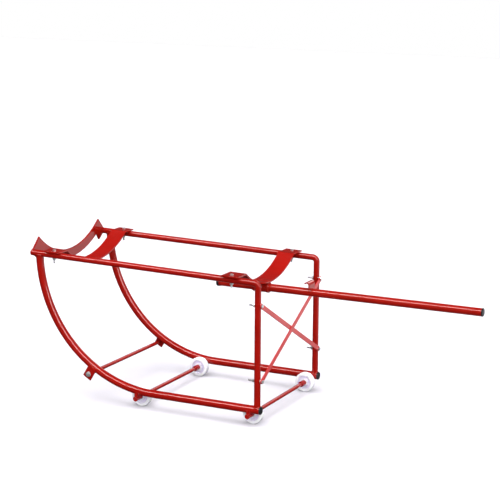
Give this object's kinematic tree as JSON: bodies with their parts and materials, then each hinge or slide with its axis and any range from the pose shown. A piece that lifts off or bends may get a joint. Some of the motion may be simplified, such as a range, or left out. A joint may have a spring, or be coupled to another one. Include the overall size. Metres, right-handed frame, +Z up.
{
  "type": "tilting drum cradle",
  "caption": "Welded tube cradle that holds a steel drum on its side, rocks upright on curved runners, rolls on small wheels and has a sliding hooked tipping lever.",
  "frame": {"origin": "on the floor, under the centre of the whole cradle's bounding box at rest", "axes": "+X along the drum and the lever, toward the lever's free end; +Y to the right side frame; +Z up"},
  "size_m": [1.4476, 0.4776, 0.5088],
  "materials": {
    "frame_paint": "glossy red enamel on steel tube",
    "brace_paint": "glossy red enamel on flat bar",
    "lever_paint": "glossy red enamel on steel tube, handled",
    "zinc_plate": "zinc plated, satin",
    "black_plastic": "moulded black plastic, slight sheen",
    "wheel_plastic": "moulded off-white plastic, smooth"
  },
  "bodies": {
    "cradle": {"left_runner": "frame_paint", "right_runner": "frame_paint", "left_leg": "frame_paint", "right_leg": "frame_paint", "left_top_rail": "frame_paint", "right_top_rail": "frame_paint", "toe_plate": "frame_paint", "front_saddle": "frame_paint", "rear_saddle": "frame_paint", "saddle_bolts": "zinc_plate", "saddle_nuts": "zinc_plate", "lever_socket": "frame_paint", "inner_brace": "brace_paint", "outer_brace": "brace_paint", "brace_spacers": "zinc_plate", "brace_bolts": "zinc_plate", "brace_nuts": "zinc_plate", "left_lug": "frame_paint", "right_lug": "frame_paint", "tie_rod": "frame_paint", "tie_rod_bolts": "zinc_plate", "tie_rod_washers": "zinc_plate", "front_bushings": "frame_paint", "rear_bushings": "frame_paint", "front_axle": "frame_paint", "rear_axle": "frame_paint", "front_spacers": "frame_paint", "rear_spacers": "frame_paint", "wheel_washers": "zinc_plate", "left_foot_cap": "black_plastic", "right_foot_cap": "black_plastic"},
    "lever": {"lever_tube": "lever_paint", "lever_hook": "lever_paint", "lever_stop_collar": "lever_paint", "lever_tail_cap": "black_plastic", "lever_end_cap": "black_plastic"},
    "front_left_wheel_body": {"front_left_wheel": "wheel_plastic"},
    "front_right_wheel_body": {"front_right_wheel": "wheel_plastic"},
    "rear_left_wheel_body": {"rear_left_wheel": "wheel_plastic"},
    "rear_right_wheel_body": {"rear_right_wheel": "wheel_plastic"}
  },
  "joints": [
    {"name": "lever_slide", "type": "slide", "parent": "cradle", "child": "lever", "axis": [1, 0, 0], "range_m": [0, 0.117]},
    {"name": "front_left_roll", "type": "hinge", "parent": "cradle", "child": "front_left_wheel_body", "pos_m": [0.06525, -0.191, 0.032], "axis": [0, 1, 0], "continuous": true},
    {"name": "front_right_roll", "type": "hinge", "parent": "cradle", "child": "front_right_wheel_body", "pos_m": [0.06525, 0.191, 0.032], "axis": [0, 1, 0], "continuous": true},
    {"name": "rear_left_roll", "type": "hinge", "parent": "cradle", "child": "rear_left_wheel_body", "pos_m": [-0.32875, -0.191, 0.032], "axis": [0, 1, 0], "continuous": true},
    {"name": "rear_right_roll", "type": "hinge", "parent": "cradle", "child": "rear_right_wheel_body", "pos_m": [-0.32875, 0.191, 0.032], "axis": [0, 1, 0], "continuous": true}
  ]
}
